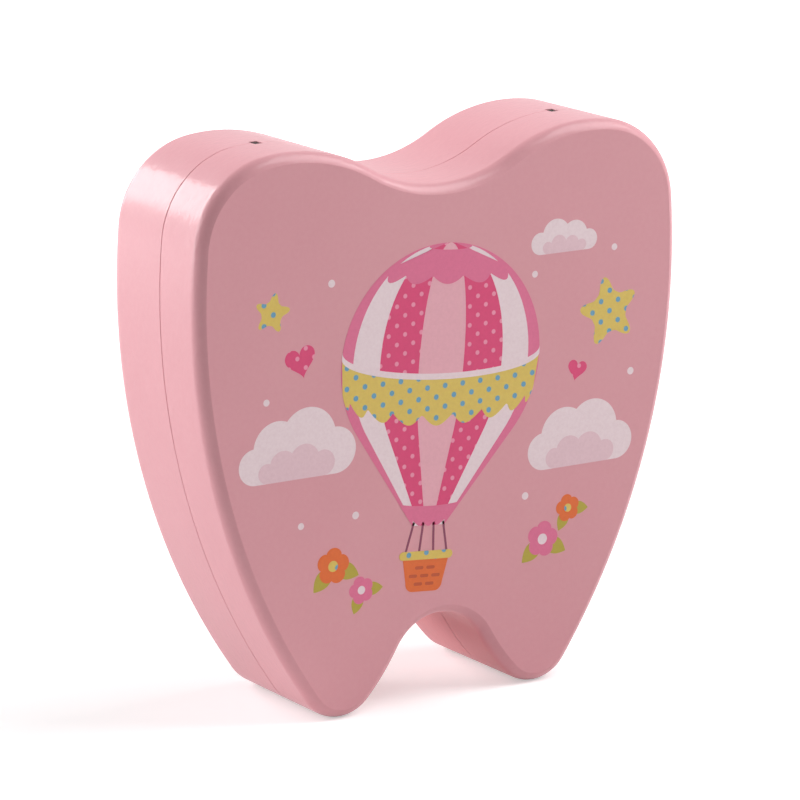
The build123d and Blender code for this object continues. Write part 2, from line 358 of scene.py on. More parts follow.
# %% [markdown]
# ## Finishes
# A material is a small graph of nodes. The class below keeps the graphs short: it starts one with its
# shader, and each of its methods adds a node or two and fills their sockets. Patterns read Object
# coordinates, so they stay put on a piece when it moves.

# %% Colours
def linear(channel):
    """Linear light of one display channel from 0 to 255."""
    value = channel / 255
    return value / 12.92 if value <= 0.04045 else ((value + 0.055) / 1.055) ** 2.4


def colour(red, green, blue):
    """A colour as a painter would read it off a display."""
    return (linear(red), linear(green), linear(blue), 1)


# %% Nodes
class Graph:
    """The nodes of one material, or of the world, with its shader ready."""

    def __init__(self, name, kind="materials", shader="Principled BSDF"):
        self.owner = getattr(bpy.data, kind).new(name)
        self.owner.use_nodes = True
        self.tree = self.owner.node_tree
        self.shader = self.tree.nodes[shader]
        self.place = self.node("TexCoord").outputs["Object"]

    def node(self, kind, inputs=None, **settings):
        """Adds a node, sets its options, and fills its sockets with values or links."""
        made = self.tree.nodes.new("ShaderNode" + kind)
        for option, value in settings.items():
            setattr(made, option, value)
        for socket, value in (inputs or {}).items():
            self.fill(made.inputs[socket], value)
        return made

    def fill(self, socket, value):
        """Links an output to a socket, or types the value in."""
        if isinstance(value, bpy.types.NodeSocket):
            self.tree.links.new(value, socket)
        else:
            socket.default_value = value

    def set(self, **values):
        """Fills sockets of the shader, with underscores for spaces."""
        for name, value in values.items():
            self.fill(self.shader.inputs[name.replace("_", " ")], value)
        return self.owner

    def mapped(self, **sockets):
        """Object coordinates, scaled or turned."""
        return self.node("Mapping", {"Vector": self.place, **sockets}).outputs[0]

    def axis(self, vector, letter):
        """One axis of a vector."""
        return self.node("SeparateXYZ", {0: vector}).outputs[letter]

    def length(self, vector):
        """Length of a vector."""
        return self.node("VectorMath", {0: vector}, operation="LENGTH").outputs["Value"]

    def vector(self, operation, *values):
        """A sum on vectors."""
        return self.node("VectorMath", dict(enumerate(values)), operation=operation).outputs[0]

    def math(self, operation, *values):
        """A sum on numbers."""
        return self.node("Math", dict(enumerate(values)), operation=operation).outputs[0]

    def noise(self, scale, detail=3.0, roughness=0.5, stretch=None, distortion=0.0):
        """Noise from 0 to 1, its scale counted per metre."""
        sockets = {
            "Vector": self.mapped(Scale=stretch) if stretch else self.place, "Scale": scale,
            "Detail": detail, "Roughness": roughness, "Distortion": distortion,
        }
        return self.node("TexNoise", sockets).outputs["Fac"]

    def spread(self, value, low, high, start=0.0, end=1.0):
        """Maps start to end onto low to high."""
        sockets = {"Value": value, "From Min": start, "From Max": end, "To Min": low, "To Max": high}
        return self.node("MapRange", sockets).outputs[0]

    def mix(self, share, first, second):
        """Mixes two colours, whose sockets are the seventh and eighth of the node."""
        made = self.node("Mix", {0: share}, data_type="RGBA")
        self.fill(made.inputs[6], first)
        self.fill(made.inputs[7], second)
        return made.outputs[2]

    def bump(self, height, distance, strength=1.0, under=None):
        """Relief of a height map, over another relief if one is given."""
        sockets = {"Height": height, "Distance": distance * MM, "Strength": strength}
        if under:
            sockets["Normal"] = under
        return self.node("Bump", sockets).outputs[0]


# %% [markdown]
# ## Pink lacquer
# The halves were sprayed and rubbed to a satin sheen. Sprayed lacquer dries with a fine orange peel,
# which breaks up the edge of every highlight, and its gloss differs a little from place to place.
# Both come from noise: a coarse one for the gloss and the colour, and two finer ones for the relief.
# The clear coat on top has the whole peel, and the paint under it a third, so that the sheen is
# lively while the colour stays even. The flat faces, whose normal points along the depth, are rubbed
# down further than the rounded sides. Between the roots the colour is painted a deeper pink, as painted
# shade with the pink light that the root walls bounce onto each other, so it follows the distance from
# the middle of the foot. Faint lighter flecks from a fine noise are painted glints.

# %% Lacquer
PEEL, WIDE_PEEL, PAINT_SHARE = 0.14, 0.10, 0.35
RUBBED_DOWN, ROOT_SHADE = 0.4, 0.75


def lacquer(name, red, green, blue):
    """Satin sprayed lacquer with orange peel."""
    graph = Graph(name)
    cloud = graph.noise(26, detail=2)
    paint = graph.mix(cloud, colour(red, green, blue), colour(red - 5, green - 8, blue - 7))
    # Painted glints: faint lighter flecks scattered at random through the paint colour.
    specks = graph.spread(graph.noise(900, detail=2, roughness=0.6), 0, 0.1, 0.35, 0.75)
    paint = graph.mix(specks, paint, colour(red + 10, green + 22, blue + 20))
    gloss = graph.spread(graph.noise(60, detail=4), 0.10, 0.17, 0.3, 0.7)
    flatness = graph.math("ABSOLUTE", graph.axis(graph.node("TexCoord").outputs["Normal"], "Y"))
    left_on = graph.spread(flatness, 1.0, RUBBED_DOWN, 0.9, 1.0)
    from_foot = graph.length(graph.mapped(Scale=(1, 0, 1)))
    # Painted shade: a deeper pink on the walls between the roots, fading with the distance from the
    # middle of the foot.
    root_shade = graph.spread(from_foot, ROOT_SHADE, 0, CROTCH_HEIGHT * MM, TIP_SPACING / 2 * MM)
    root_shade = graph.math("MULTIPLY", root_shade, graph.spread(flatness, 1, 0, 0, 0.6))
    paint = graph.mix(root_shade, paint, colour(red - 2, green - 36, blue - 38))
    wide = graph.bump(graph.noise(110, detail=1), WIDE_PEEL, left_on)
    grain = graph.noise(420, detail=2.5, roughness=0.6, stretch=(1, 2.5, 1))
    coat = graph.bump(grain, PEEL, left_on, under=wide)
    under_coat = graph.bump(grain, PAINT_SHARE * PEEL, left_on, under=wide)
    return graph.set(
        Base_Color=paint, Roughness=0.55, Normal=under_coat, Specular_IOR_Level=0.25,
        Coat_Weight=0.4, Coat_Roughness=gloss, Coat_Normal=coat,
    )


pink_lacquer = lacquer("pink_lacquer", 229, 163, 171)
print(pink_lacquer.name, "has", len(pink_lacquer.node_tree.nodes), "nodes")

# %% [markdown]
# ## Bare wood, burnt edges and felt
# The tray is birch plywood cut by laser: its face has long pale grain, and its walls show the plies as
# stripes, scorched brown. Grain is noise stretched along one axis, with rings bent by a second noise.
# Cork is pale cells with dark pockets, which a Voronoi texture and a noise give. The felt is pressed
# wool, so it has no thread, only crossing fibres.

# %% Plywood and its cut edge
def plywood(name):
    """Birch veneer with grain along X."""
    graph = Graph(name)
    grain = graph.noise(42, detail=7, roughness=0.62, stretch=(0.16, 1, 2.6), distortion=0.6)
    pores = graph.noise(420, detail=3, roughness=0.7, stretch=(0.05, 1, 1.8))
    wood = graph.mix(graph.spread(grain, 0, 1, 0.3, 0.72), colour(226, 196, 152), colour(196, 156, 106))
    wood = graph.mix(graph.spread(pores, 0, 0.55, 0.55, 0.8), wood, colour(160, 118, 74))
    relief = graph.bump(pores, 0.04)
    return graph.set(Base_Color=wood, Roughness=graph.spread(grain, 0.5, 0.68), Normal=relief)


def burnt_edge(name, plies):
    """Laser-cut wall of plywood, with a pair of plies every so many millimetres of depth."""
    graph = Graph(name)
    turns = graph.math("MULTIPLY", graph.axis(graph.place, "Y"), 2 * pi / (plies * MM))
    stripe = graph.math("SINE", turns)
    char = graph.noise(260, detail=4, roughness=0.6, stretch=(1, 0.25, 1))
    wood = graph.mix(graph.spread(stripe, 0, 1, -0.5, 0.5), colour(198, 150, 100), colour(158, 110, 70))
    wood = graph.mix(graph.spread(char, 0, 0.75, 0.35, 0.7), wood, colour(110, 72, 46))
    relief = graph.bump(stripe, 0.05, under=graph.bump(char, 0.08))
    return graph.set(Base_Color=wood, Roughness=0.7, Normal=relief)


# %% Cork and felt
def cork_oak(name):
    """Cut cork: pale cells with dark pockets."""
    graph = Graph(name)
    cells = graph.node("TexVoronoi", {"Vector": graph.place, "Scale": 1500}).outputs["Distance"]
    pockets = graph.noise(520, detail=4, roughness=0.65)
    cork = graph.mix(graph.spread(cells, 0, 1, 0.1, 0.7), colour(186, 140, 94), colour(214, 172, 124))
    cork = graph.mix(graph.spread(pockets, 0, 1, 0.56, 0.68), cork, colour(92, 58, 36))
    relief = graph.bump(graph.spread(pockets, 1, 0, 0.5, 0.7), 0.18)
    return graph.set(Base_Color=cork, Roughness=0.82, Normal=relief)


def wool_felt(name):
    """Pressed wool felt: two sets of crossing fibres and a soft cloudiness."""
    graph = Graph(name)
    along = graph.noise(700, detail=5, roughness=0.75, stretch=(0.3, 1, 1.6), distortion=1.2)
    over = graph.noise(760, detail=5, roughness=0.75, stretch=(1.6, 1, 0.3), distortion=1.2)
    fibres = graph.math("MAXIMUM", along, over)
    raised = graph.spread(fibres, 0, 1, 0.45, 0.75)
    wool = graph.mix(raised, colour(232, 221, 204), colour(252, 247, 238))
    wool = graph.mix(graph.spread(graph.noise(90), 0, 0.25), wool, colour(226, 213, 194))
    relief = graph.bump(fibres, 0.35)
    return graph.set(
        Base_Color=wool, Roughness=0.95, Normal=relief, Sheen_Weight=0.35, Sheen_Roughness=0.6
    )


birch_ply = plywood("birch_ply")
tray_edge = burnt_edge("scorched_tray_edge", plies=1.4)
chart_edge = burnt_edge("scorched_chart_edge", plies=1.3)
natural_cork = cork_oak("natural_cork")
cream_felt = wool_felt("cream_wool_felt")

# %% [markdown]
# ## Glass, brass, nickel and burnt lines
# Clear glass needs a real wall to bend light, so its detail is in the mesh, with faint streaks in its
# gloss. The metals get fine turning or rolling marks, which are noise drawn out along one direction.
# The hinges end in two small pits in the top of the box, which lie in shade, so their brass is
# painted dull and nearly black just under the top, as painted shade.

# %% Metals
PIT_SHADE_DEPTH, PIT_SHADE_FADE = 1.3, 0.3


def metal(name, red, green, blue, rough, stretch, shade_from=None):
    """Bare metal with fine marks drawn out along one axis, and light handling wear.
    Above the height given last it is painted dull and nearly black, as painted shade down in the pits."""
    graph = Graph(name)
    marks = graph.noise(2600, detail=3, roughness=0.7, stretch=stretch)
    tarnish = graph.noise(420, detail=4, roughness=0.6)
    worn = graph.spread(tarnish, 0, 0.6, 0.4, 0.75)
    tone = graph.mix(worn, colour(red, green, blue), colour(red * 0.82, green * 0.76, blue * 0.7))
    shine = graph.spread(tarnish, rough, rough + 0.14)
    graph.set(Base_Color=tone, Metallic=1.0, Roughness=shine, Normal=graph.bump(marks, 0.012))
    # Painted shade: near the top, down in the pits, the brass is made dull and nearly black.
    if shade_from:
        low, high = shade_from * MM, (shade_from + PIT_SHADE_FADE) * MM
        pit_shade = graph.spread(graph.axis(graph.place, "Z"), 0, 1, low, high)
        graph.set(
            Base_Color=graph.mix(pit_shade, tone, colour(44, 31, 28)),
            Metallic=graph.spread(pit_shade, 1.0, 0.1), Roughness=graph.spread(pit_shade, rough, 0.85),
        )
    return graph.owner


# %% Glass and engraving
def clear_glass(name):
    """Thin blown glass with faint drawing streaks."""
    graph = Graph(name)
    streaks = graph.noise(150, detail=2, stretch=(1, 1, 0.1))
    relief = graph.bump(streaks, 0.03)
    return graph.set(
        Base_Color=(0.96, 0.99, 0.985, 1), Roughness=graph.spread(streaks, 0.0, 0.04),
        Transmission_Weight=1.0, IOR=1.47, Normal=relief,
    )


def burnt_line(name):
    """Laser engraving: brown char, darker where the beam slowed."""
    graph = Graph(name)
    char = graph.noise(1200, detail=3)
    tone = graph.mix(graph.spread(char, 0, 1, 0.35, 0.65), colour(96, 58, 34), colour(58, 33, 20))
    return graph.set(Base_Color=tone, Roughness=0.85, Normal=graph.bump(char, 0.03))


vial_glass = clear_glass("vial_glass")
brass = metal("hinge_brass", 142, 108, 62, 0.3, (1, 0.06, 1), BOX_HEIGHT - PIT_SHADE_DEPTH)
nickel = metal("magnet_nickel", 176, 174, 169, 0.2, (1, 1, 0.08))
engraving = burnt_line("burnt_engraving")
print("so far there are", len(bpy.data.materials), "materials")

# %% [markdown]
# ## Rear half
# The rear half is a block sawn to the outline, its rear edge rounded over and its seam edge just
# broken. The rear is then planed flat, a hair into the rounding, which leaves a crisp line round it.
# A pocket for felt and tray is routed in, and the seats of magnets and hinges are bored. Each hollow
# is a cutter in the true shape, taken out by a Boolean, as the router and drill do.

# %% Rods and blocks
PIN_OFFSET, LINKS_PER_HINGE, LINK_THICKNESS, LINK_END_RADIUS = 1.0, 3, 0.35, 0.45
LINK_PLAY, LINK_SWING_ROOM, EAR_THICKNESS = 0.05, 0.1, 0.45
BARREL_DIAMETER, BARREL_COVER, BARREL_LENGTH, BARREL_PLAY = 4.4, 1.0, 6.0, 0.05
MAGNET_PLAY, OVERRUN = 0.05, 5.0
pit_width = LINKS_PER_HINGE * LINK_THICKNESS + 2 * (EAR_THICKNESS + 2 * LINK_PLAY)
pit_reach = PIN_OFFSET + LINK_END_RADIUS + LINK_SWING_ROOM
barrel_height = BOX_HEIGHT - BARREL_COVER - BARREL_DIAMETER / 2
print("each hinge shows in a pit", round(pit_width, 2), "mm wide")


def rod(name, x, z, radius, front, rear, points=64):
    """Round rod with its axis along the depth."""
    clear_selection()
    bpy.ops.mesh.primitive_cylinder_add(
        vertices=points, radius=radius * MM, depth=(rear - front) * MM,
        location=(x * MM, (front + rear) / 2 * MM, z * MM), rotation=(pi / 2, 0, 0),
    )
    return place_in_mesh(added(name))


def block(name, x, width, front, rear, foot, top):
    """Straight-sided block."""
    clear_selection()
    bpy.ops.mesh.primitive_cube_add(
        size=1, location=(x * MM, (front + rear) / 2 * MM, (foot + top) / 2 * MM),
        scale=(width * MM, (rear - front) * MM, (top - foot) * MM),
    )
    return place_in_mesh(added(name))


# %% Saw, plane, rout and bore one half
ON_PLANE = 0.001


def plane_down(piece, y, side):
    """Takes off what stands beyond a depth on one side, and leaves a crisp edge round the flat."""
    edit(piece, "EDGE")
    bpy.ops.mesh.bisect(
        plane_co=(0, y * MM, 0), plane_no=(0, side, 0), clear_outer=True, threshold=ON_PLANE * MM
    )
    bpy.ops.mesh.edge_face_add()
    close_edit()


def front_place(point):
    """A point's place as seen from the front, to a hundredth of a millimetre."""
    return round(point.x, 5), round(point.z, 5)


def carve_half(name, show_y, pocket_floor, inward):
    """One half of the box: inward is 1 where the block lies behind the seam and -1 before it."""
    face_y = SEAM_Y + inward * SHOWN_GAP / 2
    sawn_y = show_y + inward * EDGE_PLANED
    piece = slab(name, tooth_rings, *sorted((sawn_y, face_y)))
    round_edges(piece, at_depth(sawn_y), EDGE_ROUND, 12)
    plane_down(piece, show_y, inward)
    round_edges(piece, at_depth(face_y), SEAM_ROUND, 4)
    mouth = face_y - inward * OVERRUN
    cutter = slab("pocket_cutter", pocket_rings, *sorted((mouth, pocket_floor)))
    rim = {front_place(point.co) for point in cutter.data.vertices}
    cut(piece, cutter)
    on_rim = lambda ends: at_depth(face_y)(ends) and all(front_place(end) in rim for end in ends)
    round_edges(piece, on_rim, POCKET_BREAK, 1)
    bored = sorted((mouth, face_y + inward * BARREL_LENGTH))
    sawn = sorted((mouth, SEAM_Y + inward * pit_reach))
    seated = sorted((mouth, SEAM_Y + inward * MAGNET_THICKNESS))
    for side in (-1, 1):
        hinge_x, magnet_x = side * crown_x, side * tip_centre.x
        cut(piece, rod("bore", hinge_x, barrel_height, BARREL_DIAMETER / 2 + BARREL_PLAY, *bored))
        cut(piece, block("pit", hinge_x, pit_width, *sawn, barrel_height, BOX_HEIGHT + OVERRUN))
        radius = MAGNET_DIAMETER / 2 + MAGNET_PLAY
        cut(piece, rod("magnet_bore", magnet_x, tip_centre.y, radius, *seated))
    return smooth(outward(piece))


# %% Carve the rear half
FELT_Y, FELT_THICKNESS = 9.65, 1.0
rear_half = carve_half("rear_half", REAR_Y, FELT_Y + FELT_THICKNESS, 1)
finish(rear_half, "base", "pink_lacquer", [pink_lacquer], "base_half")

# %% [markdown]
# ## Front half
# The lid is carved in the same way. Its face lies about a tenth of a millimetre behind the front of
# the frame, because the ink of the print is laid on it in thin layers and has to stay inside that box.

# %% Carve the front half
PRINT_ROOM = 0.12
FACE_Y = FRONT_Y + PRINT_ROOM
BOARD_RECESS, BOARD_THICKNESS = 0.8, 4.0
BOARD_Y = LID_FACE_Y - BOARD_RECESS - BOARD_THICKNESS
front_half = carve_half("front_half", FACE_Y, BOARD_Y, -1)
finish(front_half, "lid", "pink_lacquer", [pink_lacquer], "lid_half")

# %% [markdown]
# ## Tray of wells
# The tray is one sheet of plywood with twenty round wells on two arches, a slot for each vial and a
# finger hole. One rod and one rounded block are modelled, copied to their places and joined, so that
# one Boolean takes out all the wells and one both slots. The mouths are then broken by a hair, as
# fine paper leaves them.

# %% Places of the wells
TRAY_Y = BASE_FACE_Y + 1.0
WELL_DIAMETER, WELL_MARGIN, WELLS_PER_JAW = 10.0, 2.4, 10
JAW_SIDE_MARGIN, JAW_END_ANGLE, ARCH_STEPS = 5.5, 12.0, 2000
FINGER_HOLE_DIAMETER, SLOT_CORNER_RADIUS = 13.0, 1.5
VIAL_DIAMETER, VIAL_LENGTH, VIAL_SPACING, VIAL_PLAY, VIAL_LIFT = 10.0, 28.0, 22.0, 0.4, 0.1
CORK_HEAD_HEIGHT, CORK_STROKE = 4.5, 8.0
TRAY_BREAK = 0.25

jaw_height = (pocket_top + pocket_arch) / 2
jaw_rise = (pocket_top - pocket_arch) / 2 - WELL_DIAMETER / 2 - WELL_MARGIN
pocket_reach = side_radius - RIM_WIDTH
pocket_half_width = side_centre.x + sqrt(pocket_reach**2 - (WIDEST_HEIGHT - jaw_height) ** 2)
jaw_half_width = pocket_half_width - WELL_DIAMETER / 2 - JAW_SIDE_MARGIN
slot_length = VIAL_LENGTH + CORK_HEAD_HEIGHT + CORK_STROKE + 2 * VIAL_PLAY
slot_foot = jaw_height - slot_length / 2
vial_foot = slot_foot + VIAL_PLAY
vial_y = FELT_Y - VIAL_LIFT - VIAL_DIAMETER / 2


def along_arch(half_width, rise, count, end_angle):
    """Points spread evenly by length along the upper part of an ellipse, from right to left."""
    sweep = 180 - 2 * end_angle
    angles = [radians(end_angle + sweep * step / ARCH_STEPS) for step in range(ARCH_STEPS + 1)]
    line = [(half_width * cos(angle), rise * sin(angle)) for angle in angles]
    lengths = [0.0]
    for (x, z), (next_x, next_z) in zip(line, line[1:]):
        lengths.append(lengths[-1] + hypot(next_x - x, next_z - z))
    goals = [lengths[-1] * index / (count - 1) for index in range(count)]
    return [min(zip(line, lengths), key=lambda spot: abs(spot[1] - goal))[0] for goal in goals]


arch = along_arch(jaw_half_width, jaw_rise, WELLS_PER_JAW, JAW_END_ANGLE)
upper_wells = [(x, jaw_height + rise) for x, rise in reversed(arch)]
lower_wells = [(x, jaw_height - rise) for x, rise in arch]
wells = upper_wells + lower_wells
for place, (x, z) in (("first", wells[0]), ("last", wells[-1])):
    print("the", place, "well is at x", round(x, 2), "and height", round(z, 2))


# %% Join and copy
def join(pieces):
    """Joins pieces into the first."""
    clear_selection()
    for piece in pieces:
        piece.select_set(True)
    bpy.context.view_layer.objects.active = pieces[0]
    bpy.ops.object.join()
    return pieces[0]


def copies(piece, moves):
    """Copies of a piece moved by X and Z, joined into one with it."""
    made = [piece]
    for x, z in moves:
        take(piece)
        bpy.ops.object.duplicate()
        bpy.ops.transform.translate(value=(x * MM, 0, z * MM))
        made.append(bpy.context.object)
    return place_in_mesh(join(made))


def at_wells(piece):
    """A piece made at the first well, copied to all the others."""
    first_x, first_z = wells[0]
    return copies(piece, [(x - first_x, z - first_z) for x, z in wells[1:]])


# %% Cut the tray
def tray_shape():
    """Sheet in the outline of the pocket, with every hole cut through."""
    tray = slab("tray_of_wells", pocket_rings, TRAY_Y, FELT_Y, BOARD_PLAY)
    mouth, back = TRAY_Y - OVERRUN, FELT_Y + OVERRUN
    cut(tray, at_wells(rod("well", *wells[0], WELL_DIAMETER / 2, mouth, back, 72)))
    cut(tray, rod("finger_hole", 0, jaw_height, FINGER_HOLE_DIAMETER / 2, mouth, back, 72))
    width = VIAL_DIAMETER + 2 * VIAL_PLAY
    slot = block("slot", -VIAL_SPACING / 2, width, mouth, back, slot_foot, slot_foot + slot_length)
    along_depth = lambda ends: abs(ends[0].y - ends[1].y) > MM
    round_edges(slot, along_depth, SLOT_CORNER_RADIUS, 8)
    cut(tray, copies(slot, [(VIAL_SPACING, 0)]))
    return tray


def finish_board(board, face_y, body, edge, node):
    """Breaks the mouths of a board, and gives its walls the second of its two finishes."""
    round_edges(board, at_depth(face_y), TRAY_BREAK, 2)
    smooth(outward(board))
    finish(board, body, "plywood", [birch_ply, edge], node)
    take(board)
    board.active_material_index = 1
    pick(board, "FACE", lambda face: abs(face.normal.y) < 0.5)
    bpy.ops.object.material_slot_assign()
    close_edit()


finish_board(tray_shape(), TRAY_Y, "base", tray_edge, "tooth_tray")

# %% [markdown]
# ## Numbers beside the wells
# Each well has a plain number, burnt into the wood on the inner side of the arch. Text is typed with
# the text tool, turned into a mesh, and laid a few hundredths of a millimetre proud of the wood, so
# that it reads as a dark line and catches no light of its own.

# %% Burn the numbers
NUMBER_SIZE, NUMBER_BOLD, NUMBER_PROUD, NUMBER_SHIFT = 3.6, 0.05, 0.03, 8.4


def stand_up(piece, x, y, z, turn=pi / 2):
    """Stands a flat piece up at its place, and puts that place in its mesh."""
    piece.rotation_euler = (turn, 0, 0)
    piece.location = (x * MM, y * MM, z * MM)
    return place_in_mesh(piece)


def number(text, x, y, z, turn=pi / 2):
    """A number on a board, upright to whoever looks at the open box."""
    clear_selection()
    bpy.ops.object.text_add(location=(0, 0, 0))
    piece = added("number_" + text)
    piece.data.body = text
    piece.data.size = NUMBER_SIZE * MM
    piece.data.align_x, piece.data.align_y = "CENTER", "CENTER"
    piece.data.extrude = NUMBER_PROUD * MM
    piece.data.offset = NUMBER_BOLD * MM
    piece.data.resolution_u = 6
    bpy.ops.object.convert(target="MESH")
    return stand_up(piece, x, y, z, turn)


def burn_in(name, marks, body):
    """Joins burnt marks into one piece and finishes it."""
    join(marks)
    finish(outward(added(name)), body, "plywood", [engraving])


numbers = []
for index, (x, z) in enumerate(wells, 1):
    way = Vector((-x, jaw_height - z)).normalized() * NUMBER_SHIFT
    numbers.append(number(str(index), x + way.x, TRAY_Y, z + way.y))
burn_in("tray_numbers", numbers, "base")

# %% [markdown]
# ## Chart in the lid
# The board in the lid shuts the wells. Its chart repeats the two arches as rings with their numbers,
# so that a tooth is found by its place. It is drawn upside down here, because the lid turns over when
# the box is opened. A ring is a torus flattened until it is no more than a burnt line.

# %% Cut the chart board
CHART_FACE_Y = LID_FACE_Y - BOARD_RECESS
chart = slab("tooth_chart", pocket_rings, BOARD_Y, CHART_FACE_Y, BOARD_PLAY)
finish_board(chart, CHART_FACE_Y, "lid", chart_edge, "chart_board")

# %% Engrave the chart
RING_RADIUS, RING_LINE, RING_SCALE = 4.2, 0.28, 0.86


def burnt_ring(x, z):
    """A thin ring burnt into the chart."""
    place = (x * MM, CHART_FACE_Y * MM, z * MM)
    clear_selection()
    bpy.ops.mesh.primitive_torus_add(
        major_radius=RING_RADIUS * MM, minor_radius=RING_LINE * MM, major_segments=40,
        minor_segments=6, location=place, rotation=(pi / 2, 0, 0),
    )
    piece = added("chart_ring")
    edit(piece)
    bpy.ops.transform.resize(value=(1, NUMBER_PROUD / RING_LINE, 1), center_override=place)
    close_edit()
    return place_in_mesh(piece)


chart_marks = []
for index, (x, z) in enumerate(wells, 1):
    turned_z = 2 * jaw_height - z
    ring_x, ring_z = x * RING_SCALE, jaw_height + (turned_z - jaw_height) * RING_SCALE
    chart_marks.append(burnt_ring(ring_x, ring_z))
    chart_marks.append(number(str(index), ring_x, CHART_FACE_Y, ring_z, turn=-pi / 2))
burn_in("chart_marks", chart_marks, "lid")

# %% [markdown]
# ## Felt under the tray
# A sheet of wool felt a millimetre thick lies on the floor of the pocket and shows through the wells,
# where it rises a little, because the tray presses it down all round. The rise is a flattened ball in
# each well, joined to the sheet.

# %% Lay the felt
FELT_PLAY, FELT_EDGE = 0.02, 0.3
FELT_RISE, FELT_BALL_DEPTH, FELT_BALL_PLAY = 0.28, 0.3, 0.15


def felt_shape():
    """Sheet of felt with a soft rise in each hole of the tray."""
    felt = slab("felt_lining", pocket_rings, FELT_Y + FELT_PLAY, FELT_Y + FELT_THICKNESS, BOARD_PLAY)
    round_edges(felt, at_depth(FELT_Y + FELT_PLAY), FELT_EDGE, 3)
    (x, z), radius = wells[0], WELL_DIAMETER / 2 - FELT_BALL_PLAY
    clear_selection()
    bpy.ops.mesh.primitive_uv_sphere_add(
        segments=32, ring_count=16, radius=1, rotation=(0, 0, 0),
        location=(x * MM, (FELT_Y + FELT_BALL_DEPTH) * MM, z * MM),
        scale=(radius * MM, (FELT_BALL_DEPTH + FELT_RISE) * MM, radius * MM),
    )
    cut(felt, at_wells(place_in_mesh(added("felt_rise"))), "UNION")
    return felt


felt = smooth(outward(felt_shape()), 40)
finish(felt, "base", "felt", [cream_felt], "base_felt")

# %% [markdown]
# ## Vials and corks
# A vial is blown glass with an even wall, a round foot, a soft shoulder and a rolled lip. Half of its
# section is drawn as a chain of points, its corners are rounded, and the chain is spun round the axis.
# The wall is drawn on both sides, because glass only bends light rightly when it has an inside.

# %% Spin a section
VIAL_WALL, VIAL_NECK_DIAMETER, VIAL_NECK_LENGTH = 0.8, 7.6, 5.0
VIAL_SHOULDER_LENGTH, VIAL_LIP_DIAMETER, VIAL_LIP_HEIGHT = 2.2, 8.8, 1.2
CORK_PLUG_LENGTH, CORK_HEAD_DIAMETER, CORK_PLAY, CORK_EDGE = 5.5, 7.4, 0.05, 0.4
FOOT_ROUND, SHOULDER_ROUND, NECK_ROUND, LIP_ROUND, FLOOR_ROUND = 1.5, 0.8, 0.6, 0.3, 0.9


def spun(name, x, points, rounds):
    """A piece turned round an upright axis from (radius, height) points, some of them rounded."""
    spots = {place: Vector((x + place[0], vial_y, vial_foot + place[1])) * MM for place in points}
    piece = first_point(name, spots[points[0]])
    for (radius, height), (next_radius, next_height) in zip(points, points[1:]):
        step = (next_radius - radius, 0, next_height - height)
        bpy.ops.mesh.extrude_region_move(TRANSFORM_OT_translate={"value": Vector(step) * MM})
    for place, corner in rounds.items():
        pick(piece, "VERT", lambda point: (point - spots[place]).length < SAME_PLACE * MM)
        bpy.ops.mesh.bevel(
            offset=corner * MM, segments=5, profile=0.5, affect="VERTICES", clamp_overlap=False
        )
    bpy.ops.mesh.select_all(action="SELECT")
    middle = (x * MM, vial_y * MM, 0)
    bpy.ops.mesh.spin(steps=64, angle=2 * pi, center=middle, axis=(0, 0, 1))
    close_edit()
    return smooth(outward(piece), 35)


# %% Vials
def vial(side, x):
    """Glass vial with a wall of even thickness."""
    radius, neck, lip = VIAL_DIAMETER / 2, VIAL_NECK_DIAMETER / 2, VIAL_LIP_DIAMETER / 2
    shoulder = VIAL_LENGTH - VIAL_NECK_LENGTH - VIAL_SHOULDER_LENGTH
    neck_foot, lip_foot = VIAL_LENGTH - VIAL_NECK_LENGTH, VIAL_LENGTH - VIAL_LIP_HEIGHT
    bore, hollow = neck - VIAL_WALL, radius - VIAL_WALL
    points = [
        (0, 0), (radius, 0), (radius, shoulder), (neck, neck_foot), (neck, lip_foot), (lip, lip_foot),
        (lip, VIAL_LENGTH), (bore, VIAL_LENGTH), (bore, neck_foot), (hollow, shoulder),
        (hollow, VIAL_WALL), (0, VIAL_WALL),
    ]
    rounds = {
        (radius, 0): FOOT_ROUND, (radius, shoulder): SHOULDER_ROUND, (neck, neck_foot): NECK_ROUND,
        (lip, lip_foot): LIP_ROUND, (lip, VIAL_LENGTH): LIP_ROUND, (hollow, shoulder): NECK_ROUND,
        (hollow, VIAL_WALL): FLOOR_ROUND,
    }
    piece = spun(f"glass_vial_{side}", x, points, rounds)
    finish(piece, "base", "vial_glass", [vial_glass], f"{side}_vial")


# %% Corks, and all four in place
def cork(side, x):
    """Cork with a broken edge at both ends and a head wider than its plug."""
    plug, head = VIAL_NECK_DIAMETER / 2 - VIAL_WALL - CORK_PLAY, CORK_HEAD_DIAMETER / 2
    foot, top = VIAL_LENGTH - CORK_PLUG_LENGTH, VIAL_LENGTH + CORK_HEAD_HEIGHT
    points = [(0, foot), (plug, foot), (plug, VIAL_LENGTH), (head, top), (0, top)]
    piece = spun(f"vial_cork_{side}", x, points, {(plug, foot): CORK_EDGE, (head, top): CORK_EDGE})
    finish(piece, f"{side}_cork", "cork", [natural_cork], f"{side}_cork")


for side, sign in (("left", -1), ("right", 1)):
    vial(side, sign * VIAL_SPACING / 2)
    cork(side, sign * VIAL_SPACING / 2)

# %% [markdown]
# ## Catch magnets and hinges
# A catch magnet is a nickel-plated disc with a rounded rim, pressed into its bore. Four of them are
# turned from the same rod. The barrels, pins and links of the hinges keep the engineering shapes,
# which are exact, and only get their brass.

# %% Magnets
MAGNET_EDGE = 0.25


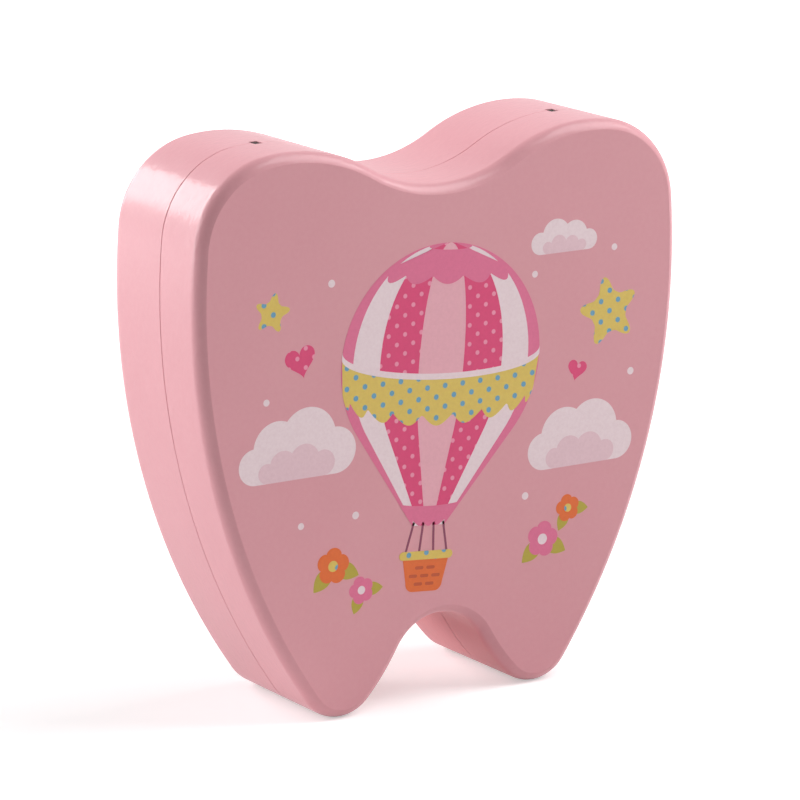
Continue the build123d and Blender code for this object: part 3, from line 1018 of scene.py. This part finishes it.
def magnet(half, body, side, sign, front, rear):
    """Plated disc with a rounded rim, in one half of the box."""
    x, radius = sign * tip_centre.x, MAGNET_DIAMETER / 2
    piece = rod(f"{half}_magnet_{side}", x, tip_centre.y, radius, front, rear, 48)
    round_edges(piece, lambda ends: at_depth(front)(ends) or at_depth(rear)(ends), MAGNET_EDGE, 4)
    smooth(piece, 25)
    finish(piece, body, "magnet_nickel", [nickel], f"{body}_magnet_{side}")


for side, sign in (("left", -1), ("right", 1)):
    magnet("rear", "base", side, sign, SEAM_Y, SEAM_Y + MAGNET_THICKNESS)
    magnet("front", "lid", side, sign, SEAM_Y - MAGNET_THICKNESS, SEAM_Y)

# %% Brass on the hinges
hinge_nodes = [node for name, node in frame["nodes"].items() if name.startswith("hinge_")]
for node in hinge_nodes:
    node.data.materials.clear()
    node.data.materials.append(brass)
print(len(hinge_nodes), "hinge pieces in brass")

# %% [markdown]
# ## The print on the front
# The print is ink laid on the lacquer by a transfer, so it is flat, follows the satin skin under it,
# and has crisp edges. Each motif is drawn as a flat closed curve, which is filled like paper, given a
# few hundredths of a millimetre of thickness and turned into a mesh. Higher layers cover lower ones.

# %% Inks
DOT_BLUR, HALF_CELL = 0.03, (0.5, 0.5, 0.5)


def ink(name, red, green, blue, dots=None, pitch=3.0, dot=0.3):
    """Flat ink with a fine printed grain, and polka dots of a second colour if one is given."""
    graph = Graph(name)
    grain = graph.spread(graph.noise(1400, detail=3, roughness=0.6), 0, 0.5, 0.35, 0.75)
    worn = colour(red * 0.95, green * 0.92, blue * 0.93)
    tone = graph.mix(grain, colour(red, green, blue), worn)
    if dots:
        squares = graph.mapped(Rotation=(0, pi / 4, 0), Scale=[1 / (pitch * MM)] * 3)
        cell = graph.vector("SUBTRACT", graph.vector("FRACTION", squares), HALF_CELL)
        reach = graph.length(graph.vector("MULTIPLY", cell, (1, 0, 1)))
        tone = graph.mix(graph.spread(reach, 1, 0, dot - DOT_BLUR, dot + DOT_BLUR), tone, dots)
    skin = graph.bump(graph.noise(620, detail=2.5, roughness=0.55), 0.03)
    return graph.set(
        Base_Color=tone, Roughness=0.42, Normal=skin, Coat_Weight=0.2, Coat_Roughness=0.25
    )


magenta_dots, yellow_dots = colour(240, 150, 176), colour(98, 158, 190)
inks = {
    "white": ink("ink_white", 244, 222, 226),
    "blush": ink("ink_blush", 240, 176, 188),
    "shade": ink("ink_lilac_shade", 236, 200, 208),
    "magenta": ink("ink_magenta_dotted", 226, 62, 118, magenta_dots, pitch=3.1, dot=0.17),
    "rose": ink("ink_rose", 229, 112, 150),
    "yellow": ink("ink_yellow_dotted", 226, 196, 92, yellow_dots, pitch=3.4, dot=0.19),
    "orange": ink("ink_orange", 232, 106, 30),
    "rust": ink("ink_rust", 196, 78, 26),
    "green": ink("ink_leaf_green", 184, 166, 48),
    "plum": ink("ink_plum", 138, 58, 88),
}
print("there are", len(inks), "inks")

# %% [markdown]
# ### Drawing with flat curves
# A motif is a list of closed lines in millimetres. Blender fills a flat curve, and gives it a little
# thickness that is more for each higher layer. The curve is drawn lying down, then stood up against
# the face.

# %% Print a motif
LAYER = 0.02
layers_used = set()


def turned(points, lean, x=0.0, z=0.0):
    """Points turned by an angle about the origin, then set down with it at x and z."""
    return [
        (x + side * cos(lean) - up * sin(lean), z + side * sin(lean) + up * cos(lean))
        for side, up in points
    ]


def printed(name, lines, layer, ink_name):
    """A motif in ink: closed lines of (x, z) points, filled and laid on the face."""
    clear_selection()
    flat = bpy.data.curves.new(name, "CURVE")
    flat.dimensions = "2D"
    flat.fill_mode = "BOTH"
    depth = LAYER * layer
    flat.extrude = depth / 2 * MM
    for line in lines:
        spline = flat.splines.new("POLY")
        spline.points.add(len(line) - 1)
        for point, (x, z) in zip(spline.points, line):
            point.co = (x * MM, z * MM, 0, 1)
        spline.use_cyclic_u = True
    piece = bpy.data.objects.new(name, flat)
    bpy.context.scene.collection.objects.link(piece)
    take(piece)
    bpy.ops.object.convert(target="MESH")
    piece = stand_up(bpy.context.object, 0, FACE_Y - depth / 2, 0)
    layers_used.add(layer)
    finish(outward(piece), "lid", "pink_lacquer", [inks[ink_name]])


# %% Round lines
def polar_line(x, z, reach, turn=0.0, count=160):
    """A closed line whose distance from its middle is a function of the angle."""
    steps = [2 * pi * step / count for step in range(count)]
    return [
        (x + reach(angle) * cos(angle + turn), z + reach(angle) * sin(angle + turn)) for angle in steps
    ]


def round_line(x, z, radius, count=48):
    """A circle."""
    return polar_line(x, z, lambda angle: radius, count=count)


# %% [markdown]
# ### The balloon
# A balloon is a round envelope that tapers to its mouth, sewn from upright gores. Seen flat, a seam at
# some longitude stands at the width of the envelope times the sine of that longitude, which makes the
# gores look narrower towards the sides. Bands sag in the middle, because they go round it. All of it
# is drawn upright, and one function gives each part the same lean.

# %% Size and lean of the balloon
BALLOON_RADIUS, BALLOON_MIDDLE, BALLOON_TAPER, MOUTH_HALF = 27.0, 80.5, radians(38), 4.4
BALLOON_LEAN, BALLOON_X = radians(-5), -1.0
taper_run = (BALLOON_RADIUS * cos(BALLOON_TAPER) - MOUTH_HALF) / sin(BALLOON_TAPER)
taper_start = BALLOON_MIDDLE - BALLOON_RADIUS * sin(BALLOON_TAPER)
mouth_height = taper_start - taper_run * cos(BALLOON_TAPER)
balloon_top = BALLOON_MIDDLE + BALLOON_RADIUS


def leaning(name, lines, layer, ink_name):
    """Prints a part of the balloon, drawn upright, with the lean of the whole."""
    placed = []
    for line in lines:
        about_middle = [(x, z - BALLOON_MIDDLE) for x, z in line]
        line = turned(about_middle, BALLOON_LEAN, 0, BALLOON_MIDDLE)
        placed.append([(x + BALLOON_X, z) for x, z in line])
    printed(name, placed, layer, ink_name)


def envelope_width(z):
    """Half width of the envelope at a height."""
    if z >= taper_start:
        return sqrt(max(0.0, BALLOON_RADIUS**2 - (z - BALLOON_MIDDLE) ** 2))
    share = (z - mouth_height) / (taper_start - mouth_height)
    return MOUTH_HALF + (BALLOON_RADIUS * cos(BALLOON_TAPER) - MOUTH_HALF) * share


# %% Gores and bands
GORE_STEPS, BAND_STEPS, END_ROOM = 60, 120, 0.01


def gore(first, second):
    """Closed line of the cloth between two longitudes, with more points near its ends."""
    rise = balloon_top - END_ROOM - mouth_height
    shares = [(1 - cos(pi * step / GORE_STEPS)) / 2 for step in range(GORE_STEPS + 1)]
    levels = [mouth_height + rise * share for share in shares]
    up = [(envelope_width(z) * sin(first), z) for z in levels]
    down = [(envelope_width(z) * sin(second), z) for z in reversed(levels)]
    return up + down


def band(top, bottom, sag, scallops=0, hang=0.0):
    """Closed line of a band round the envelope, its lower edge scalloped if wished."""
    turns = [-pi / 2 + pi * step / BAND_STEPS for step in range(BAND_STEPS + 1)]

    def edge(angle, height, drop):
        z = height - sag * cos(angle) - drop
        return (envelope_width(z) * sin(angle), z)

    upper = [edge(angle, top, 0) for angle in turns]
    lower = [edge(angle, bottom, hang * abs(sin(scallops * (angle + pi / 2)))) for angle in turns]
    return upper + lower[::-1]


# %% Print the balloon
seams = [radians(angle) for angle in (-90, -62, -38, -13, 13, 38, 62, 90)]
cloth = ["rose", "white", "magenta", "blush", "magenta", "white", "rose"]
for index, (first, second) in enumerate(zip(seams, seams[1:]), 1):
    leaning(f"balloon_gore_{index}", [gore(first, second)], 2, cloth[index - 1])
cap_top, skirt_top, skirt_foot = balloon_top - 0.02, mouth_height + 5.5, mouth_height - 0.4
leaning("balloon_band", [band(82, 73.5, 5.5, scallops=9, hang=2.6)], 3, "yellow")
leaning("balloon_band_piping", [band(83.0, 81.6, 5.5)], 4, "white")
leaning("balloon_cap", [band(cap_top, 101.5, 1.6, scallops=7, hang=1.9)], 3, "rose")
leaning("balloon_skirt", [band(skirt_top, skirt_foot + 2.2, 1.0, scallops=5, hang=1.0)], 3, "rose")

# %% [markdown]
# ### The basket
# The basket hangs on four ropes. It is a rounded tub with a thick rim and a simple weave, drawn as
# short bars set like bricks.

# %% Shapes of the basket
BASKET_TOP, BASKET_FOOT = mouth_height - 7.0, mouth_height - 15.5
BASKET_HALF, BASKET_FOOT_HALF, BASKET_CORNER = 6.4, 5.0, 2.0


def tub(top, foot, top_half, foot_half, corner):
    """Closed line of a tub with rounded lower corners."""
    turns = [pi / 2 * step / 10 for step in range(11)]
    x, z = foot_half - corner, foot + corner
    right = [(x + corner * sin(turn), z - corner * cos(turn)) for turn in turns]
    left = [(-x, z) for x, z in reversed(right)]
    return [(-top_half, top)] + left + right + [(top_half, top)]


def bar_line(x, z, length, height):
    """A short bar with round ends."""
    half, radius = length / 2 - height / 2, height / 2
    turns = [pi * step / 10 for step in range(11)]
    right = [(x + half + radius * sin(turn), z + radius * cos(turn)) for turn in turns]
    left = [(x - half - radius * sin(turn), z - radius * cos(turn)) for turn in turns]
    return right + left


# %% Print ropes and basket
ROPE_HALF, ROPE_TOP = 0.28, skirt_foot + 1.2
ROPE_ENDS = ((-4.0, -5.8), (-1.4, -2.0), (1.4, 2.0), (4.0, 5.8))
BAR_LENGTH, BAR_HEIGHT, BAR_PITCH, ROW_PITCH = 2.3, 0.75, 3.1, 1.9
FIRST_ROW, WEAVE_MARGIN, WEAVE_TAPER = BASKET_TOP - 2.9, 2.1, 0.35

for index, (top_x, foot_x) in enumerate(ROPE_ENDS, 1):
    rope = [
        (top_x - ROPE_HALF, ROPE_TOP), (foot_x - ROPE_HALF, BASKET_TOP),
        (foot_x + ROPE_HALF, BASKET_TOP), (top_x + ROPE_HALF, ROPE_TOP),
    ]
    leaning(f"balloon_rope_{index}", [rope], 2, "plum")
basket_line = tub(BASKET_TOP, BASKET_FOOT, BASKET_HALF, BASKET_FOOT_HALF, BASKET_CORNER)
leaning("basket", [basket_line], 2, "orange")
weave = []
for row in range(3):
    offset = 0 if row % 2 else BAR_PITCH / 2
    for x in [step * BAR_PITCH + offset for step in range(-2, 3)]:
        if abs(x) < BASKET_HALF - WEAVE_MARGIN - WEAVE_TAPER * row:
            weave.append(bar_line(x, FIRST_ROW - row * ROW_PITCH, BAR_LENGTH, BAR_HEIGHT))
leaning("basket_weave", weave, 3, "rust")
leaning("basket_rim", [bar_line(0, BASKET_TOP, 14.6, 2.0)], 4, "yellow")

# %% [markdown]
# ### Clouds, star, hearts and flowers
# The small motifs are drawn by one rule each. A cloud is a row of circles on a straight foot. A star,
# a flower and a leaf are lines whose distance from the middle swings with the angle, and a heart is
# the old curve of sines.

# %% Line of a cloud
ARC_STEPS = 24


def cloud_line(bumps):
    """Closed line over a row of circles (x, z, radius), flat below."""
    middles = [Vector((x, z)) for x, z, radius in bumps]
    radii = [radius for x, z, radius in bumps]
    joints = [
        crossing(middles[index + 1], radii[index + 1], middles[index], radii[index])
        for index in range(len(bumps) - 1)
    ]
    low = [Vector((x, z - radius)) for x, z, radius in (bumps[0], bumps[-1])]
    line = []
    for middle, start, end in zip(middles, [low[0]] + joints, joints + [low[1]]):
        first = start - middle
        turn = first.angle_signed(end - middle)
        turn = turn if turn > 0 else turn + 2 * pi
        for step in range(ARC_STEPS + 1):
            spot = middle + Matrix.Rotation(-turn * step / ARC_STEPS, 2) @ first
            line.append((spot.x, spot.y))
    return line


# %% Lines of heart, star, flower and leaf
HEART_STEPS, LEAF_STEPS = 80, 40


def heart_line(x, z, size, lean):
    """A heart about as high as its size."""
    line = []
    for angle in [2 * pi * step / HEART_STEPS for step in range(HEART_STEPS)]:
        side = 16 * sin(angle) ** 3
        up = 13 * cos(angle) - 5 * cos(2 * angle) - 2 * cos(3 * angle) - cos(4 * angle)
        line.append((side * size / 30, (up + 2) * size / 30))
    return turned(line, lean, x, z)


def star_line(x, z, radius, lean):
    """A plump star with five points."""
    reach = lambda angle: radius * (0.75 + 0.2 * cos(5 * angle) + 0.05 * cos(10 * angle))
    return polar_line(x, z, reach, lean + pi / 2)


def flower_line(x, z, radius, lean):
    """A flower with five round petals."""
    reach = lambda angle: radius * (0.78 + 0.22 * abs(cos(5 * angle / 2)) ** 0.7)
    return polar_line(x, z, reach, lean)


def leaf_line(x, z, length, lean):
    """A pointed leaf that grows from its foot."""
    shares = [step / LEAF_STEPS for step in range(LEAF_STEPS + 1)]
    line = [(share * length, 0.27 * length * sin(pi * share) ** 0.9) for share in shares]
    line += [(along, -out) for along, out in reversed(line[1:-1])]
    return turned(line, lean, x, z)


# %% Print clouds, stars and hearts
CLOUD_SHADE_SPREAD, CLOUD_SHADE_SIZE = 0.7, 0.55
clouds = {
    "left": [(-50.5, 62.2, 4.2), (-44.5, 65.6, 6.4), (-36.5, 67.0, 7.2), (-29.4, 63.4, 5.4)],
    "right": [(27.5, 55.4, 4.4), (33.4, 58.6, 6.6), (41.4, 59.4, 6.8), (48.0, 55.6, 4.6)],
    "high": [(26.0, 104.4, 2.6), (30.4, 106.0, 3.8), (35.6, 105.6, 3.4), (39.4, 104.2, 2.4)],
}
for name, bumps in clouds.items():
    foot = min(z - radius for x, z, radius in bumps)
    bumps = [(x, max(z, foot + radius), radius) for x, z, radius in bumps]
    printed(f"cloud_{name}", [cloud_line(bumps)], 1, "white")
    middle = (bumps[0][0] + bumps[-1][0]) / 2
    shade = []
    for x, z, radius in bumps:
        small = CLOUD_SHADE_SIZE * radius
        shade.append((middle + CLOUD_SHADE_SPREAD * (x - middle), foot + small, small))
    printed(f"cloud_shade_{name}", [cloud_line(shade)], 2, "shade")

printed("star_dotted", [star_line(45.5, 86.5, 8.2, radians(10))], 1, "yellow")
printed("star_small", [star_line(-46, 96.5, 4.6, radians(-12))], 1, "yellow")
printed("heart_large", [heart_line(-38.5, 84.5, 7.4, radians(12))], 1, "magenta")
printed("heart_small", [heart_line(36.6, 73.5, 5.0, radians(-14))], 1, "magenta")

# %% Print flowers and specks
LEAF_LENGTH, LEAF_ANGLES, EYE_SIZE = 1.75, (radians(215), radians(325)), 0.3
flowers = [
    (-30.0, 36.5, 4.3, "orange", "yellow", 0.2), (-22.4, 29.8, 3.3, "rose", "white", 0.6),
    (27.5, 34.5, 4.3, "rose", "white", 0.1), (34.6, 41.0, 3.3, "orange", "yellow", 0.5),
]
for index, (x, z, radius, petals, eye, lean) in enumerate(flowers, 1):
    for side, angle in zip(("left", "right"), LEAF_ANGLES):
        leaf = leaf_line(x, z, radius * LEAF_LENGTH, lean + angle)
        printed(f"leaf_{side}_{index}", [leaf], 1, "green")
    printed(f"flower_{index}", [flower_line(x, z, radius, lean)], 2, petals)
    printed(f"flower_eye_{index}", [round_line(x, z, radius * EYE_SIZE)], 3, eye)

specks = [
    (-24, 47.5, 0.9), (22.5, 45.5, 0.9), (-47.5, 76.5, 0.8), (52.0, 71.5, 0.9),
    (24.5, 97.5, 0.8), (-30.5, 101.5, 0.9), (-38.5, 47.0, 0.8), (46.8, 101.5, 0.8),
]
for index, speck in enumerate(specks, 1):
    printed(f"speck_{index}", [round_line(*speck, count=24)], 1, "white")
print("the print's", max(layers_used), "layers are", round(max(layers_used) * LAYER, 3), "mm high")

# %% [markdown]
# ## Floor and light
# The box stands on a pale floor under five soft lamps. The key, behind the box on the left and turned
# about its own axis, gives the slanting sheen on the shoulder. The one beside it on the left keeps the
# side bright. One high on the right lights the top and the face, a narrow one finds the right edge,
# and a weak one in front fills the shadows. The world adds a little from all round. Where the camera,
# a gloss or a glass sees the floor or the world directly it is white, and near the box the floor
# glows less, so that it still takes the shadow.

# %% Floor
FLOOR_SIZE, FLOOR_GLOW, FLOOR_NEAR, FLOOR_FAR = 12, 0.42, 0.25, 1.0
WHITE = (1, 1, 1, 1)


def seen_directly(graph):
    """1 for a ray from the camera, a gloss or a glass, and 0 for light on its way to other things."""
    rays = graph.node("LightPath").outputs
    seen = graph.math("MAXIMUM", rays["Is Camera Ray"], rays["Is Glossy Ray"])
    return graph.math("MAXIMUM", seen, rays["Is Transmission Ray"])


clear_selection()
bpy.ops.mesh.primitive_plane_add(size=FLOOR_SIZE, location=(0, 0, 0))
floor = added("floor")
pale = Graph("pale_floor")
glow = pale.spread(pale.length(pale.place), FLOOR_GLOW, 1.0, FLOOR_NEAR, FLOOR_FAR)
floor.data.materials.append(pale.set(
    Base_Color=pale.mix(pale.noise(6), (0.8, 0.8, 0.8, 1), (0.79, 0.79, 0.79, 1)), Roughness=0.9,
    Specular_IOR_Level=0.1, Emission_Color=WHITE,
    Emission_Strength=pale.math("MULTIPLY", seen_directly(pale), glow),
))
print("the floor is", FLOOR_SIZE, "m wide")

# %% World
WORLD_STRENGTH = 0.15
studio = Graph("studio", "worlds", "Background")
strength = studio.spread(seen_directly(studio), WORLD_STRENGTH, 1.0)
bpy.context.scene.world = studio.set(Color=WHITE, Strength=strength)
print("the world lights the box at", WORLD_STRENGTH)


# %% Lamps
def lamp(name, direction, distance, width, height, power, roll=0.0):
    """Soft rectangular lamp that looks at the middle of the box, rolled about its own axis."""
    middle = Vector((0, 0, BOX_HEIGHT / 2 * MM))
    away = Vector(direction).normalized()
    light = bpy.data.lights.new(name, "AREA")
    light.shape = "RECTANGLE"
    light.size, light.size_y = width, height
    light.energy = power
    holder = bpy.data.objects.new(name, light)
    bpy.context.scene.collection.objects.link(holder)
    holder.location = middle + away * distance
    rolled = away.to_track_quat("Z", "Y").to_matrix() @ Matrix.Rotation(roll, 3, "Z")
    holder.rotation_euler = rolled.to_euler()
    print(name, "stands", distance, "m away")


KEY_ROLL = radians(44)
lamp("key_behind_left", (-0.36, 0.845, 0.39), 1.1, 0.6, 0.45, 7.3, roll=KEY_ROLL)
lamp("side_left", (-0.8, 0.6, 0.12), 1.1, 0.5, 0.8, 8.3)
lamp("high_right", (0.55, -0.25, 0.8), 1.1, 0.8, 0.8, 9.7)
lamp("edge_right", (0.85, -0.26, 0.45), 1.1, 0.3, 0.4, 1.2)
lamp("fill_front_right", (0.62, -0.75, 0.35), 1.4, 1.2, 0.9, 2.2)

# %% [markdown]
# ## Camera
# The camera looks from the left of the front and a little from above through a long lens, which keeps
# upright lines nearly parallel. Angle, distance and lens were fitted to the outline of the real box.

# %% Camera
CAMERA_AZIMUTH, CAMERA_ELEVATION, CAMERA_ROLL = radians(-33.433), radians(13.528), radians(0.316)
CAMERA_DISTANCE, FOCAL_PIXELS, IMAGE_WIDTH, SENSOR_WIDTH = 1.02604, 4458.4, 800, 36
AIM_HEIGHT, SHIFT_X = 67.3, 0.0009

camera_data = bpy.data.cameras.new("camera")
camera_data.sensor_width = SENSOR_WIDTH
camera_data.lens = FOCAL_PIXELS / IMAGE_WIDTH * SENSOR_WIDTH
camera_data.shift_x = SHIFT_X
camera = bpy.data.objects.new("camera", camera_data)
bpy.context.scene.collection.objects.link(camera)
level = cos(CAMERA_ELEVATION)
back = Vector((sin(CAMERA_AZIMUTH) * level, -cos(CAMERA_AZIMUTH) * level, sin(CAMERA_ELEVATION)))
camera.matrix_world = (
    Matrix.Translation(Vector((0, 0, AIM_HEIGHT * MM)) + back * CAMERA_DISTANCE)
    @ back.to_track_quat("Z", "Y").to_matrix().to_4x4() @ Matrix.Rotation(CAMERA_ROLL, 4, "Z")
)
bpy.context.scene.camera = camera
bpy.context.scene.view_settings.view_transform = "Standard"
print("the lens is", round(camera_data.lens, 1), "mm long")
